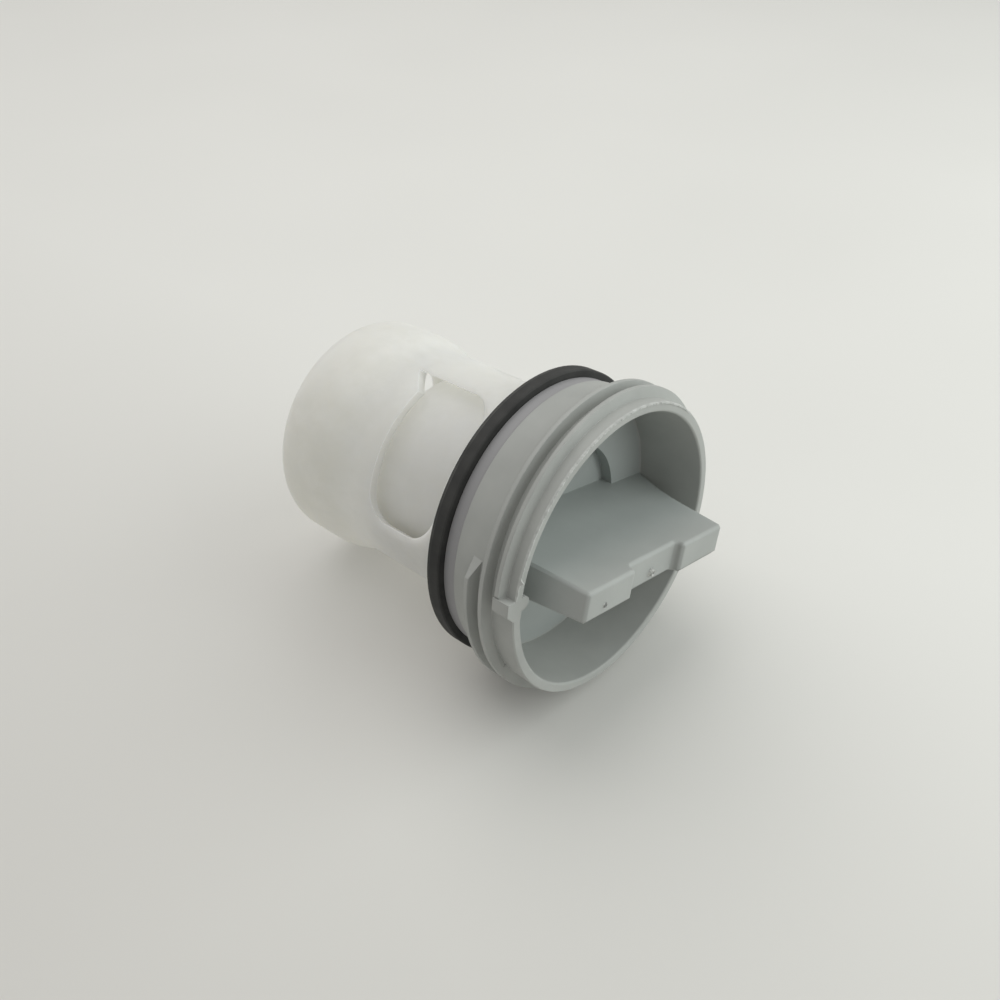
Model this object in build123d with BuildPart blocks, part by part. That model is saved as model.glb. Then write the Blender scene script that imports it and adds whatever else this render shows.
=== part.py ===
"""Screw-in drain filter of a washing machine: cap with grip bar, seal ring and trap basket.

Millimetres, +Z up. The filter stands on the open end of its basket, with the screw axis on Z and the
grip bar along X.
"""

import os
from math import cos, radians, sin, tan

from build123d import *

# Overall stations along the screw axis
rim_height = 72.0  # foot of the basket to the front face of the rim
grip_rise = 9.2  # grip bar in front of the rim

# Cap: cup and rim
rim_diameter = 60.0
rim_wall = 2.0
cup_depth = 14.2
cup_draft = 4.4  # degrees, inside of the cup
recess_diameter = 33.0
recess_depth = 2.5
floor_wall = 2.0
rim_chamfer = 0.25

# Cap: barrel behind the rim
barrel_foot_diameter = 58.0  # the barrel widens from here to the rim
seal_land_diameter = 57.6
seal_land_width = 2.7
seal_drop = 18.0  # front face of the rim to the front side of the seal groove
groove_width = 3.2
groove_diameter = 53.6
flange_diameter = 56.6
flange_width = 1.2
skirt_bore = 50.0

# Cap: screw thread
thread_diameter = 63.6
thread_pitch = 3.5
thread_turns = 2.04  # the ridge ends in the stop lug
thread_crest = 0.8
thread_foot = 2.4
thread_start_drop = 10.0  # front face of the rim to the middle of the first thread
thread_start_angle = 172.0
thread_ramp_angle = 7.0
thread_bite = 0.3  # depth of the ridge's foot in the barrel wall

# Cap: grip bar
grip_front_width = 44.0
grip_waist_width = 45.4  # at the front face of the rim
grip_foot_width = 53.4  # at the floor of the cup
grip_thickness = 6.2
grip_draft = 3.0  # degrees, each side of the bar
grip_notch_width = 15.9
grip_notch_depth = 1.7
grip_chamfer = 0.5

# Cap: stop lug and nub on the rim
lug_angle = 184.1
lug_foot_width = 4.2
lug_crest_width = 2.6
lug_height = 3.6
lug_reach = 1.7
nub_angle = 182.5
nub_diameter = 2.8
nub_reach = 1.8

# Cap: snap spigot for the basket
spigot_diameter = 35.4
spigot_wall = 1.8
spigot_length = 7.6
bead_height = 0.5
bead_width = 1.2
slot_width = 1.6
slot_depth = 5.6
slot_count = 4

# Seal ring
seal_diameter = 60.6
seal_width = 3.0
seal_seat_gap = 0.05
seal_chamfer = 0.25

# Basket
running_gap = 0.08  # tube on the spigot
end_gap = 0.15  # tube's end to the back of the cap
tube_wall = 2.0
tube_length = 28.15
sleeve_diameter = 50.4
sleeve_band = 10.5  # widest part of the sleeve, from the foot
shoulder_length = 10.0
foot_round = 3.0
foot_flat = 0.7
leg_diameter = 46.4
leg_wall = 1.8
leg_count = 3
leg_angle = 36.5  # degrees of the shell that each leg takes up
leg_turn = 90.5  # direction of the first leg
collar_drop = 3.55  # tube's end to the face of the collar plate
collar_wall = 2.0
window_drop = 4.1  # face of the collar plate to the window's upper edge
window_height = 18.3
window_head_round = 8.0
window_foot_round = 4.5
relief_depth = 4.8
relief_angle = 13.0  # degrees of the window that the relief takes up

# Derived sizes
rim_r = rim_diameter / 2
cup_r = rim_r - rim_wall
lug_r = rim_r + lug_reach
barrel_foot_r = barrel_foot_diameter / 2
land_r = seal_land_diameter / 2
groove_r = groove_diameter / 2
flange_r = flange_diameter / 2
skirt_r = skirt_bore / 2
recess_r = recess_diameter / 2
spigot_r = spigot_diameter / 2
floor_z = rim_height - cup_depth
floor_r = cup_r - cup_depth * tan(radians(cup_draft))
recess_z = floor_z - recess_depth
back_z = recess_z - floor_wall  # back of the floor under the recess
ledge_z = floor_z - floor_wall  # back of the floor around the recess
groove_top_z = rim_height - seal_drop
groove_foot_z = groove_top_z - groove_width
flange_z = groove_foot_z - flange_width
boss_r = recess_r + floor_wall
spigot_z = back_z - spigot_length
tube_bore_r = spigot_r + running_gap
tube_r = tube_bore_r + tube_wall
tube_top_z = back_z - end_gap
tube_foot_z = tube_top_z - tube_length
sleeve_r = sleeve_diameter / 2
leg_r = leg_diameter / 2
sleeve_bore_r = leg_r - leg_wall
shoulder_z = sleeve_band + shoulder_length
collar_z = tube_top_z - collar_drop
window_head_z = collar_z - window_drop
window_foot_z = window_head_z - window_height

# Grip bar, a tapered slab: its front view cut by its side view
grip_z = rim_height + grip_rise
with BuildPart() as grip:
    with BuildSketch(Plane.XZ):
        with BuildLine():
            Line((-grip_front_width / 2, grip_z), (grip_front_width / 2, grip_z))
            Line((grip_front_width / 2, grip_z), (grip_waist_width / 2, rim_height))
            TangentArc(
                (grip_waist_width / 2, rim_height),
                (grip_foot_width / 2, floor_z),
                tangent=(grip_waist_width - grip_front_width, -2 * grip_rise),
            )
            Line((grip_foot_width / 2, floor_z), (grip_foot_width / 2, recess_z))
            Line((grip_foot_width / 2, recess_z), (-grip_foot_width / 2, recess_z))
            Line((-grip_foot_width / 2, recess_z), (-grip_foot_width / 2, floor_z))
            TangentArc(
                (-grip_waist_width / 2, rim_height),
                (-grip_foot_width / 2, floor_z),
                tangent=(grip_front_width - grip_waist_width, -2 * grip_rise),
            )
            Line((-grip_waist_width / 2, rim_height), (-grip_front_width / 2, grip_z))
        make_face()
    extrude(amount=rim_r, both=True)
    foot_half = grip_thickness / 2 + (grip_z - recess_z) * tan(radians(grip_draft))
    with BuildSketch(Plane.YZ):
        with BuildLine():
            Polyline(
                (-grip_thickness / 2, grip_z),
                (grip_thickness / 2, grip_z),
                (foot_half, recess_z),
                (-foot_half, recess_z),
                close=True,
            )
        make_face()
    extrude(amount=rim_r, both=True, mode=Mode.INTERSECT)
    with Locations((0, 0, grip_z)):
        Box(grip_notch_width, rim_diameter, 2 * grip_notch_depth, mode=Mode.SUBTRACT)
    chamfer(grip.edges().filter_by(lambda e: e.center().Z > rim_height - cup_depth / 2), grip_chamfer)

# Screw thread, one ridge that runs out in a ramp at both ends
thread_r = thread_diameter / 2
ridge_r = barrel_foot_r - thread_bite
thread_rise = thread_pitch * thread_turns
with BuildPart() as thread:
    with BuildLine() as thread_path:
        Helix(thread_pitch, thread_rise, ridge_r, center=(0, 0, rim_height - thread_start_drop))
    with BuildSketch(Plane(thread_path.line @ 0, x_dir=(1, 0, 0), z_dir=thread_path.line % 0)):
        with BuildLine():
            Polyline(
                (0, -thread_foot / 2),
                (thread_r - ridge_r, -thread_crest / 2),
                (thread_r - ridge_r, thread_crest / 2),
                (0, thread_foot / 2),
                close=True,
            )
        make_face()
    sweep(path=thread_path.line, is_frenet=True)
    end_angle = 360 * thread_turns
    for angle, turn, height in ((0, 1, 0), (end_angle, -1, thread_rise)):
        tip = Vector(barrel_foot_r, 0).rotate(Axis.Z, angle)
        top = Vector(thread_r, 0).rotate(Axis.Z, angle + turn * thread_ramp_angle)
        along = (top - tip).normalized()
        with Locations(
            Plane(
                origin=tip + Vector(0, 0, rim_height - thread_start_drop + height),
                x_dir=along,
                z_dir=(0, 0, 1),
            )
        ):
            with Locations((0, -turn * thread_r / 2, 0)):
                Box(thread_r, thread_r, 1.4 * thread_pitch, mode=Mode.SUBTRACT)

# Cap
with BuildPart() as cap:
    with BuildSketch(Plane.XZ):
        with BuildLine():
            Polyline(
                (0, recess_z),
                (recess_r, recess_z),
                (recess_r, floor_z),
                (floor_r, floor_z),
                (cup_r, rim_height),
                (rim_r, rim_height),
                (barrel_foot_r, groove_top_z + seal_land_width),
                (land_r, groove_top_z + seal_land_width - (barrel_foot_r - land_r)),
                (land_r, groove_top_z),
                (groove_r, groove_top_z),
                (groove_r, groove_foot_z),
                (flange_r, groove_foot_z),
                (flange_r, flange_z),
                (skirt_r, flange_z),
                (skirt_r, ledge_z),
                (boss_r, ledge_z),
                (boss_r, back_z),
                (spigot_r, back_z),
                (spigot_r, spigot_z + 2 * bead_width),
                (spigot_r + bead_height, spigot_z + 1.5 * bead_width),
                (spigot_r + bead_height, spigot_z + bead_width),
                (spigot_r, spigot_z),
                (spigot_r - spigot_wall, spigot_z),
                (spigot_r - spigot_wall, back_z),
                (0, back_z),
                close=True,
            )
        make_face()
    revolve(axis=Axis.Z)
    chamfer(cap.edges().group_by(Axis.Z)[-1], rim_chamfer)
    with PolarLocations(spigot_r, slot_count):
        with Locations((0, 0, spigot_z)):
            Box(4 * spigot_wall, slot_width, 2 * slot_depth, mode=Mode.SUBTRACT)
    add(grip.part)
    add(thread.part, rotation=(0, 0, thread_start_angle))
    with BuildSketch(Plane.XY.offset(rim_height)):
        with PolarLocations(0, 1, start_angle=lug_angle):
            Polygon(
                (cup_r, -lug_foot_width / 2),
                (lug_r, -lug_foot_width / 2),
                (lug_r, lug_crest_width - lug_foot_width / 2),
                (rim_r, lug_foot_width / 2),
                (cup_r, lug_foot_width / 2),
                align=None,
            )
        with PolarLocations(cup_r - nub_reach + nub_diameter / 2, 1, start_angle=nub_angle):
            Circle(nub_diameter / 2)
    extrude(amount=-lug_height)
cap.part.label = "cap"

# Seal ring, a square section with broken edges
seal_r = seal_diameter / 2
seal_bore_r = groove_r + seal_seat_gap
seal_foot_z = groove_foot_z + (groove_width - seal_width) / 2
with BuildPart() as seal:
    with BuildSketch(Plane.XZ) as seal_sketch:
        with Locations(((seal_bore_r + seal_r) / 2, seal_foot_z + seal_width / 2)):
            Rectangle(seal_r - seal_bore_r, seal_width)
        chamfer(seal_sketch.vertices(), seal_chamfer)
    revolve(axis=Axis.Z)
seal.part.label = "seal"

# Basket: the windowed shell first, then the inner tube and collar plate
window_angle = 360 / leg_count - leg_angle
window_half = leg_r * sin(radians(window_angle / 2))
relief_x = leg_r * sin(radians(relief_angle - window_angle / 2))
shoulder_middle = ((sleeve_r + leg_r) / 2, sleeve_band + shoulder_length / 2)
with BuildPart() as basket:
    with BuildSketch(Plane.XZ):
        with BuildLine():
            Line((sleeve_bore_r, 0), (sleeve_bore_r + foot_flat, 0))
            Spline(
                (sleeve_bore_r + foot_flat, 0),
                (sleeve_r, foot_round),
                tangents=((1, 0), (0, 1)),
            )
            Line((sleeve_r, foot_round), (sleeve_r, sleeve_band))
            TangentArc((sleeve_r, sleeve_band), shoulder_middle, tangent=(0, 1))
            TangentArc((leg_r, shoulder_z), shoulder_middle, tangent=(0, -1))
            Line((leg_r, shoulder_z), (leg_r, collar_z))
            Line((leg_r, collar_z), (sleeve_bore_r, collar_z))
            Line((sleeve_bore_r, collar_z), (sleeve_bore_r, 0))
        make_face()
    revolve(axis=Axis.Z)
    for window in range(leg_count):
        middle = radians(leg_turn + (window + 0.5) * 360 / leg_count)
        face_plane = Plane(
            origin=(0, 0, 0),
            x_dir=(-sin(middle), cos(middle), 0),
            z_dir=(cos(middle), sin(middle), 0),
        )
        with BuildSketch(face_plane) as window_sketch:
            with BuildLine():
                Polyline(
                    (-window_half, window_head_z),
                    (-window_half, window_foot_z - relief_depth),
                    (relief_x, window_foot_z),
                    (window_half, window_foot_z),
                    (window_half, window_head_z),
                    close=True,
                )
            make_face()
            fillet(window_sketch.vertices().group_by(Axis.Y)[-1], window_head_round)
            fillet(window_sketch.vertices().group_by(Axis.X)[-1].sort_by(Axis.Y)[0], window_foot_round)
        extrude(amount=2 * sleeve_r, mode=Mode.SUBTRACT)
    with BuildSketch(Plane.XZ):
        with BuildLine():
            Polyline(
                (tube_bore_r, tube_foot_z),
                (tube_r, tube_foot_z),
                (tube_r, collar_z - collar_wall),
                (leg_r - leg_wall / 2, collar_z - collar_wall),
                (leg_r - leg_wall / 2, collar_z),
                (tube_r, collar_z),
                (tube_r, tube_top_z),
                (tube_bore_r, tube_top_z),
                (tube_bore_r, spigot_z + 2 * bead_width + running_gap),
                (tube_bore_r + bead_height, spigot_z + 1.5 * bead_width + running_gap),
                (tube_bore_r + bead_height, spigot_z + bead_width - running_gap),
                (tube_bore_r, spigot_z - running_gap),
                close=True,
            )
        make_face()
    revolve(axis=Axis.Z)
basket.part.label = "basket"

os.makedirs("parts", exist_ok=True)
export_step(cap.part, "parts/cap.step")
export_step(seal.part, "parts/seal.step")
export_step(basket.part, "parts/basket.step")
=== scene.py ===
"""Finishes, small marks, table, light and camera for the screw-in drain filter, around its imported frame."""

import math

import bpy
from mathutils import Matrix, Vector, noise as waves


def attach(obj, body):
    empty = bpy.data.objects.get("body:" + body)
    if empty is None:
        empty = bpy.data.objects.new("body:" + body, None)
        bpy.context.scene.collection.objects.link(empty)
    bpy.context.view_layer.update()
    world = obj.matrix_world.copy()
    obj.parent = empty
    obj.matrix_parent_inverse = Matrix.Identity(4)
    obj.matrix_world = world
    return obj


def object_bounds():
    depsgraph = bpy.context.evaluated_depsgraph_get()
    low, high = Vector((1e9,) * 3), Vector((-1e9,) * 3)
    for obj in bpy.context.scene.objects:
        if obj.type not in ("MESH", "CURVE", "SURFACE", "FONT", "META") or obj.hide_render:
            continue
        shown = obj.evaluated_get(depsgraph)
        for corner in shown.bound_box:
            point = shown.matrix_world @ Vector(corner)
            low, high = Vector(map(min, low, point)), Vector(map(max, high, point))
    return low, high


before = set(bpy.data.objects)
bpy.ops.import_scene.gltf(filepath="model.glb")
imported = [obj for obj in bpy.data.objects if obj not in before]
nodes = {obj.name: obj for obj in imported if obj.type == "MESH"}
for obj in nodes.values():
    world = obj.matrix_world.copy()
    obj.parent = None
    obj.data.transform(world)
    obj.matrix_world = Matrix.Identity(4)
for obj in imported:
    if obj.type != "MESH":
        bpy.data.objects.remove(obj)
cad_low, cad_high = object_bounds()

MM = 0.001

# Camera of the photograph, in the part's frame
CAMERA_AT = Vector((-0.146654, 0.088494, 0.158447))
CAMERA_RIGHT = Vector((0.66323, 0.12385, 0.73810))
CAMERA_UP = Vector((0.25072, 0.89246, -0.37504))
LENS = 36.0
SENSOR = 36.0

# The table that the filter lies on in the photograph: it touches the sleeve and just clears the thread
TABLE_ANGLE = math.radians(287.0)
SLEEVE_TOUCH = (25.22 * MM, 2.8 * MM)
THREAD_TOUCH = (31.80 * MM, 61.6 * MM)
TABLE_SIZE = 3.0
# Painted shade: the table's near side is darkened over this stretch
TABLE_FADE = (-0.14, 0.05)  # the near side is darker over this stretch

# Heights along the screw axis that the finishes and marks follow
SEAL_LAND = (54.0 * MM, 56.7 * MM)
SEAL_LINES = (51.35 * MM, 51.60 * MM)
CUP_FLOOR = (54.5 * MM, 55.0 * MM)
RIM_Z = 72.0 * MM
LIP_FOOT = (RIM_Z - 2.0 * MM, RIM_Z - 1.5 * MM)
BAR_FRONT = (RIM_Z + 1.0 * MM, RIM_Z + 2.0 * MM)
NOTCH_Z = 79.5 * MM
GRIP_Z = 81.2 * MM
# where the painted bluish reflection of the cup's inside fades out along the bar
BAR_REFLECTION_FADE = (RIM_Z, GRIP_Z - 1.0 * MM)
SLEEVE_FOOT = (4.0 * MM, 22.0 * MM)  # less light passes here than through the windowed part

# Distances from the screw axis over which a finish comes or goes
CUP_WALL = (26.2 * MM, 26.7 * MM)
RIM_LIP = (26.6 * MM, 28.9 * MM)
LAND_SKIN = (28.0 * MM, 28.3 * MM)
THREAD_CREST = (30.2 * MM, 30.6 * MM)

# Radii to which the light sees the edges rounded
PLAIN_EDGE = 0.12 * MM
LIP_EDGE = 0.55 * MM
BAR_EDGE = 0.8 * MM
CREST_EDGE = 0.3 * MM
FLASH_EDGE = 0.05 * MM
SEAL_EDGE = 0.1 * MM
BASKET_EDGE = 0.25 * MM

# Colours; pairs run from dark to light
CAP_GREYS = ((0.375, 0.384, 0.366), (0.415, 0.425, 0.405))
# painted shade on the land beside the seal
CAP_SEAL_SHADE = (0.290, 0.282, 0.297)
# painted bluish reflection inside the cup
CAP_INSIDE_REFLECTION = (0.362, 0.405, 0.398)
# pale edges: painted edge highlight together with wear
CAP_EDGE_HIGHLIGHT_AND_WEAR = (0.64, 0.65, 0.62)
FLASH_GREYS = ((0.41, 0.42, 0.40), (0.53, 0.54, 0.52))
# painted shade and highlight on the gate stubs, as dark and pale spots
GATE_SHADE_AND_HIGHLIGHT_GREYS = ((0.25, 0.255, 0.245), (0.62, 0.63, 0.60))
RUBBER_BLACKS = ((0.036, 0.036, 0.035), (0.050, 0.050, 0.048))
RUBBER_LINE = (0.16, 0.16, 0.15)
MILK_WHITES = ((0.738, 0.733, 0.695), (0.800, 0.795, 0.761))
CLOUD_WHITES = ((0.732, 0.727, 0.688), (0.800, 0.796, 0.763))
# painted glow on the basket's edges
MILK_EDGE_GLOW = (0.97, 0.97, 0.955)
TABLE_PALES = ((0.74, 0.735, 0.705), (0.78, 0.775, 0.745))
# painted shade on the table's near side
TABLE_NEAR_SHADE = (0.62, 0.605, 0.575)
ROOM_LIGHT = (0.94, 1.0, 0.985)
WINDOW_LIGHT = (1.0, 0.985, 0.965)
WORLD_LIGHT = (1.0, 1.0, 0.985, 1.0)
WORLD_STRENGTH = 0.43

# Flash on the rim, in degrees round the screw axis
RIM_FLASH = (56.0, 180.0)
RIM_BURR = 172.8

# Grip bar: half its thickness at the front, the slope of its sides, and the ends of its flash
GRIP_HALF = 3.1 * MM
GRIP_DRAFT = math.radians(3.0)
FLASH_DROP = 0.5 * MM
BAR_REACH = (8.5 * MM, 21.4 * MM)
NOTCH_REACH = 7.4 * MM


# Camera
right = CAMERA_RIGHT.normalized()
up = (CAMERA_UP - right * CAMERA_UP.dot(right)).normalized()
back = right.cross(up)
camera_data = bpy.data.cameras.new("camera")
camera_data.lens = LENS
camera_data.sensor_width = SENSOR
camera_data.clip_start = 0.01
camera_data.clip_end = 20.0
camera = bpy.data.objects.new("camera", camera_data)
turn = Matrix((right, up, back)).transposed().to_4x4()
camera.matrix_world = Matrix.Translation(CAMERA_AT) @ turn
bpy.context.scene.collection.objects.link(camera)
bpy.context.scene.camera = camera

# Directions on the table: out of its top, away from the camera along it, and to the side
outward = Vector((math.cos(TABLE_ANGLE), math.sin(TABLE_ANGLE), 0.0))
axis = Vector((0.0, 0.0, 1.0))
sleeve_point = outward * SLEEVE_TOUCH[0] + axis * SLEEVE_TOUCH[1]
thread_point = outward * THREAD_TOUCH[0] + axis * THREAD_TOUCH[1]
along = (thread_point - sleeve_point).normalized()
across = axis.cross(outward).normalized()
table_up = along.cross(across).normalized()
if table_up.dot(outward) > 0:
    table_up = -table_up
away = (-back - table_up * (-back).dot(table_up)).normalized()
side = away.cross(table_up).normalized()


def material(name):
    """A new material, its node tree and its Principled shader."""
    made = bpy.data.materials.new(name)
    made.use_nodes = True
    return made, made.node_tree, made.node_tree.nodes["Principled BSDF"]


def add(tree, kind, **values):
    """A node with its input sockets or properties set by name."""
    node = tree.nodes.new(kind)
    for key, value in values.items():
        if key in node.inputs:
            node.inputs[key].default_value = value
        else:
            setattr(node, key, value)
    return node


def noise(tree, scale, detail=3.0, rough=0.55):
    """Noise over the object's own coordinates; scale is in features per metre."""
    place = add(tree, "ShaderNodeTexCoord")
    made = add(tree, "ShaderNodeTexNoise", Scale=scale, Detail=detail, Roughness=rough)
    tree.links.new(place.outputs["Object"], made.inputs["Vector"])
    return made.outputs["Fac"]


def shades(tree, factor, colours, over=(0.35, 0.65)):
    """Blends two colours by a factor between two levels."""
    ramp = add(tree, "ShaderNodeValToRGB")
    for element, level, colour in zip(ramp.color_ramp.elements, over, colours):
        element.position = level
        element.color = (*colour, 1.0)
    tree.links.new(factor, ramp.inputs["Fac"])
    return ramp.outputs["Color"]


def spread(tree, factor, levels, over=(0.0, 1.0)):
    """Maps a stretch of a factor to a range of plain numbers."""
    made = add(tree, "ShaderNodeMapRange")
    made.inputs["From Min"].default_value, made.inputs["From Max"].default_value = over
    made.inputs["To Min"].default_value, made.inputs["To Max"].default_value = levels
    tree.links.new(factor, made.inputs["Value"])
    return made.outputs["Result"]


def number(tree, operation, first, second):
    """One sum on two values, each a socket or a plain number."""
    made = add(tree, "ShaderNodeMath", operation=operation)
    for socket, value in zip(made.inputs, (first, second)):
        if isinstance(value, (int, float)):
            socket.default_value = value
        else:
            tree.links.new(value, socket)
    return made.outputs["Value"]


def blend(tree, factor, first, second):
    """Mixes two colours, each a socket or a plain colour."""
    made = add(tree, "ShaderNodeMix", data_type="RGBA")
    sockets = [socket for socket in made.inputs if socket.type == "RGBA"]
    for socket, value in zip(sockets, (first, second)):
        if isinstance(value, tuple):
            socket.default_value = (*value, 1.0)
        else:
            tree.links.new(value, socket)
    tree.links.new(factor, made.inputs["Factor"])
    return next(socket for socket in made.outputs if socket.type == "RGBA")


def along_axis(tree):
    """Height along the screw axis."""
    place = add(tree, "ShaderNodeTexCoord")
    parts = add(tree, "ShaderNodeSeparateXYZ")
    tree.links.new(place.outputs["Object"], parts.inputs["Vector"])
    return parts.outputs["Z"]


def off_axis(tree):
    """Distance from the screw axis."""
    place = add(tree, "ShaderNodeTexCoord")
    flat = add(tree, "ShaderNodeVectorMath", operation="MULTIPLY")
    flat.inputs[1].default_value = (1.0, 1.0, 0.0)
    reach = add(tree, "ShaderNodeVectorMath", operation="LENGTH")
    tree.links.new(place.outputs["Object"], flat.inputs[0])
    tree.links.new(flat.outputs["Vector"], reach.inputs[0])
    return reach.outputs["Value"]


def band(tree, value, stretch, soft):
    """One inside a stretch of values, nought outside, with soft ends."""
    low, high = stretch
    rise = spread(tree, value, (0.0, 1.0), (low - soft, low + soft))
    fall = spread(tree, value, (1.0, 0.0), (high - soft, high + soft))
    return number(tree, "MULTIPLY", rise, fall)


def sharp_edge_mask(tree, radius):
    """One on sharp outer edges, nought on flat faces."""
    rounded = add(tree, "ShaderNodeBevel", Radius=radius)
    rounded.samples = 8
    face = add(tree, "ShaderNodeNewGeometry")
    turned = add(tree, "ShaderNodeVectorMath", operation="DOT_PRODUCT")
    tree.links.new(rounded.outputs["Normal"], turned.inputs[0])
    tree.links.new(face.outputs["Normal"], turned.inputs[1])
    return spread(tree, turned.outputs["Value"], (1.0, 0.0), (0.72, 0.98))


def roughen(tree, shader, scale, levels):
    """Roughness that varies between two levels."""
    tree.links.new(spread(tree, noise(tree, scale), levels), shader.inputs["Roughness"])


def relief(tree, shader, scale, depth, strength, edge):
    """Grain over edges that are rounded by a radius, a socket or a plain number."""
    rounded = add(tree, "ShaderNodeBevel")
    rounded.samples = 8
    if isinstance(edge, float):
        rounded.inputs["Radius"].default_value = edge
    else:
        tree.links.new(edge, rounded.inputs["Radius"])
    bump = add(tree, "ShaderNodeBump", Distance=depth, Strength=strength)
    tree.links.new(noise(tree, scale), bump.inputs["Height"])
    tree.links.new(rounded.outputs["Normal"], bump.inputs["Normal"])
    tree.links.new(bump.outputs["Normal"], shader.inputs["Normal"])


def cap_plastic():
    """Mid-grey moulding: fine satin grain, slight mottling, pale edges of painted highlight and wear, painted
    shade on the land by the seal and a painted bluish reflection inside the cup.
    """
    made, tree, shader = material("cap_plastic")
    height = along_axis(tree)
    reach = off_axis(tree)

    grey = shades(tree, noise(tree, 90.0), CAP_GREYS)
    # painted shade: the land beside the seal is darkened where the seal shades it
    painted_seal_shade = band(tree, height, SEAL_LAND, 0.15 * MM)
    painted_seal_shade = number(tree, "MULTIPLY", painted_seal_shade, spread(tree, reach, (0.0, 0.75), LAND_SKIN))
    grey = blend(tree, painted_seal_shade, grey, CAP_SEAL_SHADE)
    # painted reflection: the cup's inside and the bar take a bluish tint
    painted_reflection = spread(tree, reach, (1.0, 0.0), CUP_WALL)
    painted_reflection = number(tree, "MULTIPLY", painted_reflection, spread(tree, height, (0.0, 1.0), CUP_FLOOR))
    painted_reflection = number(tree, "MULTIPLY", painted_reflection, spread(tree, height, (0.5, 0.15), BAR_REFLECTION_FADE))
    grey = blend(tree, painted_reflection, grey, CAP_INSIDE_REFLECTION)
    # pale edges in random patches: painted edge highlight together with wear
    patches = spread(tree, noise(tree, 320.0), (0.2, 0.75), (0.35, 0.65))
    edge_highlight_and_wear = number(tree, "MULTIPLY", sharp_edge_mask(tree, 0.16 * MM), patches)
    grey = blend(tree, edge_highlight_and_wear, grey, CAP_EDGE_HIGHLIGHT_AND_WEAR)
    tree.links.new(grey, shader.inputs["Base Color"])

    roughen(tree, shader, 400.0, (0.44, 0.58))
    shader.inputs["Specular IOR Level"].default_value = 0.35
    lip = band(tree, reach, RIM_LIP, 0.2 * MM)
    lip = number(tree, "MULTIPLY", lip, spread(tree, height, (0.0, LIP_EDGE), LIP_FOOT))
    bar = spread(tree, height, (PLAIN_EDGE, BAR_EDGE), BAR_FRONT)
    crest = spread(tree, reach, (0.0, CREST_EDGE), THREAD_CREST)
    edge = number(tree, "MAXIMUM", number(tree, "MAXIMUM", lip, bar), crest)
    relief(tree, shader, 2600.0, 0.04 * MM, 0.3, edge)
    return made


def flash_plastic():
    """The thin, paler flash that the mould leaves along an edge."""
    made, tree, shader = material("flash_plastic")
    tree.links.new(shades(tree, noise(tree, 700.0), FLASH_GREYS), shader.inputs["Base Color"])
    roughen(tree, shader, 900.0, (0.35, 0.55))
    relief(tree, shader, 3000.0, 0.04 * MM, 0.3, FLASH_EDGE)
    return made


def gate_plastic():
    """The torn stub where the mould was fed, in dark and pale spots of painted shade and highlight."""
    made, tree, shader = material("gate_plastic")
    # painted shade and highlight: high-contrast dark and pale spots at random
    painted_spots = shades(tree, noise(tree, 1500.0), GATE_SHADE_AND_HIGHLIGHT_GREYS, (0.42, 0.58))
    tree.links.new(painted_spots, shader.inputs["Base Color"])
    roughen(tree, shader, 900.0, (0.40, 0.60))
    relief(tree, shader, 3000.0, 0.04 * MM, 0.3, FLASH_EDGE)
    return made


def seal_rubber():
    """Black moulded rubber with a fine double parting line."""
    made, tree, shader = material("seal_rubber")
    black = shades(tree, noise(tree, 220.0), RUBBER_BLACKS)
    height = along_axis(tree)
    faint = spread(tree, noise(tree, 160.0), (0.1, 0.8), (0.35, 0.65))
    for line in SEAL_LINES:
        mark = band(tree, height, (line - 0.05 * MM, line + 0.05 * MM), 0.03 * MM)
        black = blend(tree, number(tree, "MULTIPLY", mark, faint), black, RUBBER_LINE)
    tree.links.new(black, shader.inputs["Base Color"])
    roughen(tree, shader, 500.0, (0.60, 0.78))
    shader.inputs["Specular IOR Level"].default_value = 0.25
    relief(tree, shader, 1800.0, 0.05 * MM, 0.4, SEAL_EDGE)
    return made


def basket_plastic():
    """Milky white moulding; light spreads inside its thin walls and passes through them, and its edges carry
    a painted glow.
    """
    made, tree, shader = material("basket_plastic")
    milk = shades(tree, noise(tree, 45.0, 4.0), MILK_WHITES)
    cloud = shades(tree, noise(tree, 210.0, 4.0, 0.6), CLOUD_WHITES)
    milk = blend(tree, spread(tree, noise(tree, 70.0), (0.0, 0.6), (0.40, 0.60)), milk, cloud)
    # painted glow: sharp edges are lightened towards white, as if lit through the thin walls
    pale = number(tree, "MULTIPLY", sharp_edge_mask(tree, 0.5 * MM), 0.8)
    milk = blend(tree, pale, milk, MILK_EDGE_GLOW)
    tree.links.new(milk, shader.inputs["Base Color"])
    roughen(tree, shader, 260.0, (0.38, 0.52))
    shader.inputs["Specular IOR Level"].default_value = 0.35
    shader.inputs["Subsurface Weight"].default_value = 1.0
    shader.inputs["Subsurface Radius"].default_value = (1.0, 0.95, 0.85)
    shader.inputs["Subsurface Scale"].default_value = 9.0 * MM
    relief(tree, shader, 900.0, 0.05 * MM, 0.2, BASKET_EDGE)

    through = add(tree, "ShaderNodeBsdfTranslucent")
    tree.links.new(milk, through.inputs["Color"])
    mix = add(tree, "ShaderNodeMixShader", Fac=0.18)
    tree.links.new(shader.outputs["BSDF"], mix.inputs[1])
    tree.links.new(through.outputs["BSDF"], mix.inputs[2])

    light = add(tree, "ShaderNodeLightPath")
    clear = add(tree, "ShaderNodeBsdfTransparent")
    wall = add(tree, "ShaderNodeMixShader")
    passed = spread(tree, along_axis(tree), (0.70, 0.90), SLEEVE_FOOT)
    tree.links.new(number(tree, "MULTIPLY", light.outputs["Is Shadow Ray"], passed), wall.inputs["Fac"])
    tree.links.new(mix.outputs["Shader"], wall.inputs[1])
    tree.links.new(clear.outputs["BSDF"], wall.inputs[2])
    tree.links.new(wall.outputs["Shader"], tree.nodes["Material Output"].inputs["Surface"])
    return made


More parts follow.
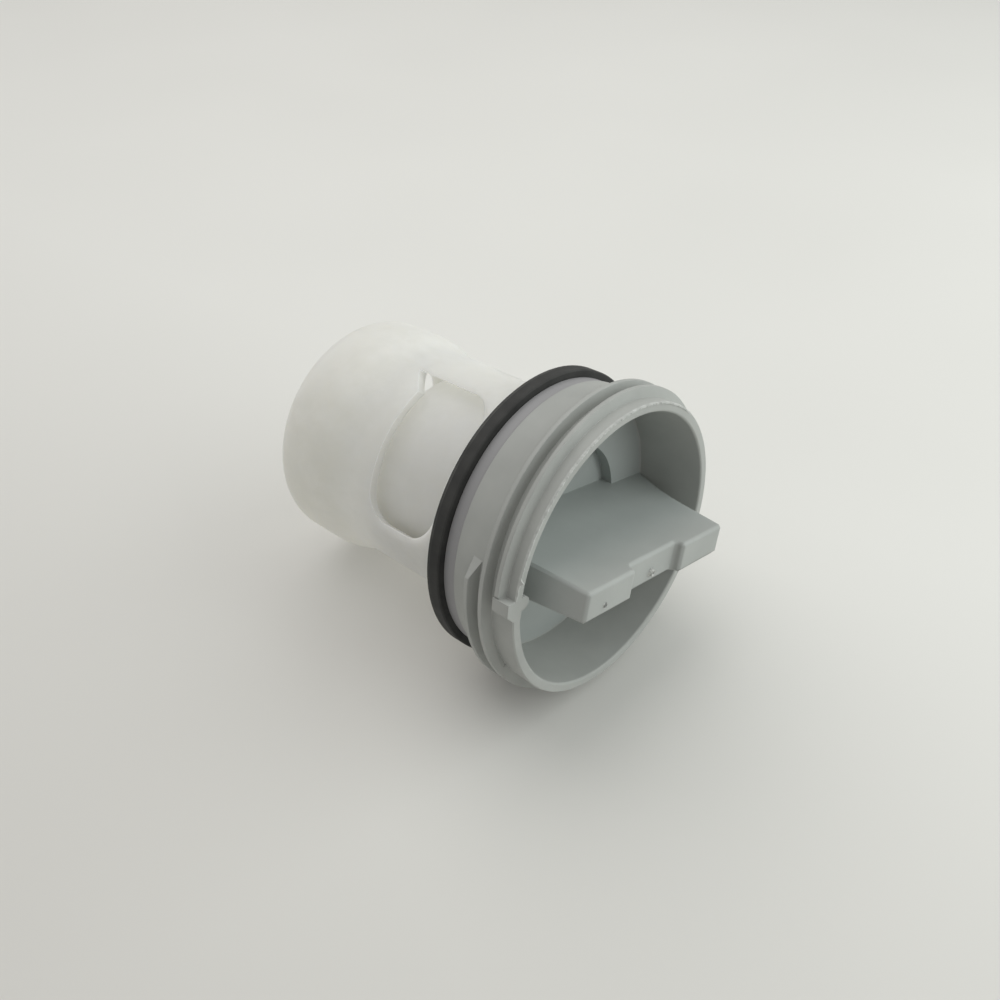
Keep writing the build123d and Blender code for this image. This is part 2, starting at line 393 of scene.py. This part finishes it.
flash_finish = flash_plastic()
gate_finish = gate_plastic()
for name, finish in (("cap", cap_plastic()), ("seal", seal_rubber()), ("basket", basket_plastic())):
    nodes[name].data.materials.clear()
    nodes[name].data.materials.append(finish)


def cap_piece(name, points, faces, finish):
    """A new mesh that moves with the cap."""
    mesh = bpy.data.meshes.new(name)
    mesh.from_pydata(points, [], faces)
    mesh.update()
    mesh.materials.append(finish)
    made = bpy.data.objects.new(name, mesh)
    bpy.context.scene.collection.objects.link(made)
    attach(made, "cap")


def rim_flash(start, end, burr):
    """Flash of uneven height along the rim's outer edge between two angles, with one burr; in degrees."""
    points = []
    faces = []
    steps = int((end - start) * 3)
    for step in range(steps + 1):
        degrees = start + (end - start) * step / steps
        angle = math.radians(degrees)
        taper = min(1.0, (degrees - start) / 6.0, (end - degrees) / 3.0)
        rough = 0.5 + 0.5 * waves.noise(Vector((degrees * 0.55, 3.1, 0.0)))
        fine = 0.5 + 0.5 * waves.noise(Vector((degrees * 2.3, 8.4, 0.0)))
        rise = taper * max(-0.05, 0.32 * rough + 0.18 * fine - 0.09)
        rise += 0.55 * math.exp(-(((degrees - burr) / 0.7) ** 2))
        lean = 0.12 * waves.noise(Vector((degrees * 0.9, 1.7, 5.0)))
        section = ((29.42, -0.06), (29.58 + lean, rise), (29.84 + lean, rise * 0.85), (29.96, -0.24))
        for reach, height in section:
            radius = reach * MM
            points.append((radius * math.cos(angle), radius * math.sin(angle), RIM_Z + height * MM))
        if step:
            row = 4 * step
            for edge in range(3):
                faces.append((row + edge - 4, row + edge, row + edge + 1, row + edge - 3))
    cap_piece("rim_flash", points, faces, flash_finish)


def gate_mark(name, x, y, z, radius, height):
    """A snapped-off stub: a low round foot with a ragged, hollow top."""
    sides = 18
    rings = ((1.25, -0.05), (1.0, 0.35), (0.85, 1.0), (0.55, 0.85), (0.3, 0.35))
    ragged_rings = (2, 3)
    points = []
    faces = []
    for ring, (reach, level) in enumerate(rings):
        for corner in range(sides):
            angle = 2 * math.pi * corner / sides
            rag = waves.noise(Vector((math.cos(angle) * 1.7, math.sin(angle) * 1.7, x * 90.0 + ring)))
            far = radius * reach * (1.0 + 0.15 * rag)
            lift = height * level * (1.0 + (0.6 * rag if ring in ragged_rings else 0.0))
            points.append((x + far * math.cos(angle), y + far * math.sin(angle), z + lift))
    for ring in range(len(rings) - 1):
        for corner in range(sides):
            first = ring * sides + corner
            second = ring * sides + (corner + 1) % sides
            faces.append((first, second, second + sides, first + sides))
    faces.append(tuple((len(rings) - 1) * sides + corner for corner in range(sides)))
    cap_piece(name, points, faces, gate_finish)


def grip_flash(name, start, end, front):
    """A fine ragged lip along the lower front edge of the grip bar, behind a front face."""
    z = front - FLASH_DROP
    face = -GRIP_HALF - (GRIP_Z - z) * math.tan(GRIP_DRAFT)
    inner = face + 0.06 * MM
    points = []
    faces = []
    steps = int((end - start) / (0.25 * MM))
    for step in range(steps + 1):
        x = start + (end - start) * step / steps
        ragged = 0.5 + 0.5 * waves.noise(Vector((x * 900.0, z * 1000.0, 4.0)))
        outer = face - (0.03 + 0.09 * ragged) * MM
        points += [(x, inner, z + 0.16 * MM), (x, outer, z + 0.02 * MM), (x, inner, z - 0.14 * MM)]
        if step:
            row = 3 * step
            faces += [(row - 3, row, row + 1, row - 2), (row - 2, row + 1, row + 2, row - 1)]
    cap_piece(name, points, faces, flash_finish)


rim_flash(*RIM_FLASH, RIM_BURR)
grip_flash("grip_flash_left", -BAR_REACH[1], -BAR_REACH[0], GRIP_Z)
grip_flash("grip_flash_notch", -NOTCH_REACH, NOTCH_REACH, NOTCH_Z)
grip_flash("grip_flash_right", *BAR_REACH, GRIP_Z)
gate_mark("gate_mark_notch", 0.3 * MM, -1.0 * MM, NOTCH_Z, radius=0.75 * MM, height=0.65 * MM)
gate_mark("gate_mark_front", -16.4 * MM, -1.0 * MM, GRIP_Z - 0.02 * MM, radius=0.48 * MM, height=0.32 * MM)


def table_finish():
    """A pale sheet with painted shade on its near side, that shows only from above."""
    made, tree, shader = material("table_finish")
    pale = shades(tree, noise(tree, 3.0), TABLE_PALES)
    place = add(tree, "ShaderNodeTexCoord")
    reach = add(tree, "ShaderNodeVectorMath", operation="DOT_PRODUCT")
    reach.inputs[1].default_value = (away + side * 0.6).normalized()
    tree.links.new(place.outputs["Object"], reach.inputs[0])
    # painted shade darkening the near side of the table
    painted_near_shade = spread(tree, reach.outputs["Value"], (0.8, 0.0), TABLE_FADE)
    tree.links.new(blend(tree, painted_near_shade, pale, TABLE_NEAR_SHADE), shader.inputs["Base Color"])
    shader.inputs["Roughness"].default_value = 0.65
    shader.inputs["Specular IOR Level"].default_value = 0.2
    clear = add(tree, "ShaderNodeBsdfTransparent")
    mix = add(tree, "ShaderNodeMixShader")
    side_seen = add(tree, "ShaderNodeNewGeometry")
    tree.links.new(side_seen.outputs["Backfacing"], mix.inputs["Fac"])
    tree.links.new(shader.outputs["BSDF"], mix.inputs[1])
    tree.links.new(clear.outputs["BSDF"], mix.inputs[2])
    tree.links.new(mix.outputs["Shader"], tree.nodes["Material Output"].inputs["Surface"])
    return made


# Table
middle = (sleeve_point + thread_point) / 2
half = TABLE_SIZE / 2
corner_signs = ((-1, -1), (1, -1), (1, 1), (-1, 1))
corners = [middle + side * (half * x) + away * (half * y) for x, y in corner_signs]
table_mesh = bpy.data.meshes.new("table")
table_mesh.from_pydata(corners, [], [(0, 1, 2, 3)])
table_mesh.update()
if table_mesh.polygons[0].normal.dot(table_up) < 0:
    table_mesh.flip_normals()
table = bpy.data.objects.new("table", table_mesh)
table.data.materials.append(table_finish())
bpy.context.scene.collection.objects.link(table)


def area_lamp(name, direction, distance, size, power, colour):
    """A square soft lamp that faces the middle of the object from a direction."""
    data = bpy.data.lights.new(name, "AREA")
    data.shape = "SQUARE"
    data.size = size
    data.energy = power
    data.color = colour
    lamp = bpy.data.objects.new(name, data)
    lamp.location = (cad_low + cad_high) / 2 + direction.normalized() * distance
    lamp.rotation_euler = direction.to_track_quat("Z", "Y").to_euler()
    bpy.context.scene.collection.objects.link(lamp)


# Light
room = table_up * 0.42 - away * 0.05 + side * 0.90
window = table_up * 1.0 + away * 0.4 - side * 0.25
area_lamp("room", room, distance=0.6, size=0.7, power=2.6, colour=ROOM_LIGHT)
area_lamp("window", window, distance=0.8, size=0.8, power=3.1, colour=WINDOW_LIGHT)

world = bpy.data.worlds.new("world")
world.use_nodes = True
world.node_tree.nodes["Background"].inputs["Color"].default_value = WORLD_LIGHT
world.node_tree.nodes["Background"].inputs["Strength"].default_value = WORLD_STRENGTH
bpy.context.scene.world = world

bpy.context.scene.view_settings.view_transform = "Standard"
